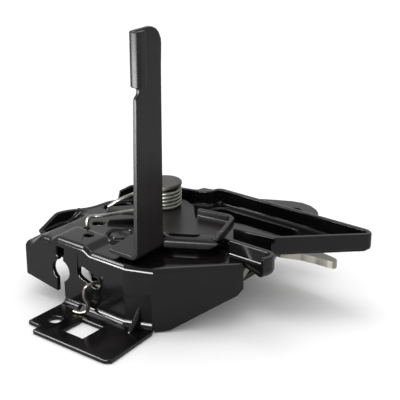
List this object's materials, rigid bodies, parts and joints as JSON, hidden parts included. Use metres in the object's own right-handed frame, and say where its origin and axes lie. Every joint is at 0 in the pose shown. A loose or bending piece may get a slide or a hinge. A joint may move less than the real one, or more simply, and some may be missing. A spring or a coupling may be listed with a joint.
{
  "type": "bonnet latch",
  "caption": "Black stamped bonnet latch with a striker mouth, upright safety lever on a coil-sprung rivet, and a catch and release pawl held under the base plate.",
  "frame": {"origin": "middle of the square bolt hole in the mounting tab, on the tab's underside", "axes": "+X along the striker slot out of its mouth, +Z from the tab's underside up towards the safety lever's handle"},
  "size_m": [0.1542, 0.1488, 0.1465],
  "materials": {
    "black_paint": "gloss black coat on stamped steel",
    "dark_steel": "dark satin plated steel",
    "zinc": "dull zinc-plated steel",
    "spring_wire": "zinc-coated spring wire"
  },
  "bodies": {
    "frame": {"base_plate": "black_paint", "back_plate": "black_paint", "lever_rivet": "dark_steel", "lever_washer": "zinc", "safety_spring": "spring_wire", "catch_rivet": "dark_steel", "catch_spring": "spring_wire", "pawl_rivet": "dark_steel", "pawl_spring": "spring_wire", "spacer_rivet_far": "dark_steel", "spacer_rivet_near": "dark_steel"},
    "lever": {"safety_lever": "black_paint"},
    "catch": {"catch": "zinc"},
    "pawl": {"pawl": "zinc"}
  },
  "joints": [
    {"name": "lever_turn", "type": "hinge", "parent": "frame", "child": "lever", "pos_m": [-0.0111, 0.0762, 0.0377], "axis": [0, 0, 1], "range_deg": [-25, 0], "stiffness_Nm_per_rad": 0.3, "springref_deg": 11.46, "deforming": ["safety_spring"]},
    {"name": "catch_turn", "type": "hinge", "parent": "frame", "child": "catch", "pos_m": [0.014, 0.073, 0.0205], "axis": [0, 0, 1], "range_deg": [-40, 0], "stiffness_Nm_per_rad": 0.3, "springref_deg": 11.46, "deforming": ["catch_spring"]},
    {"name": "pawl_turn", "type": "hinge", "parent": "frame", "child": "pawl", "pos_m": [-0.0097, 0.0396, 0.0205], "axis": [0, 0, 1], "range_deg": [0, 10], "stiffness_Nm_per_rad": 0.2, "springref_deg": -11.46, "deforming": ["pawl_spring"]}
  ]
}
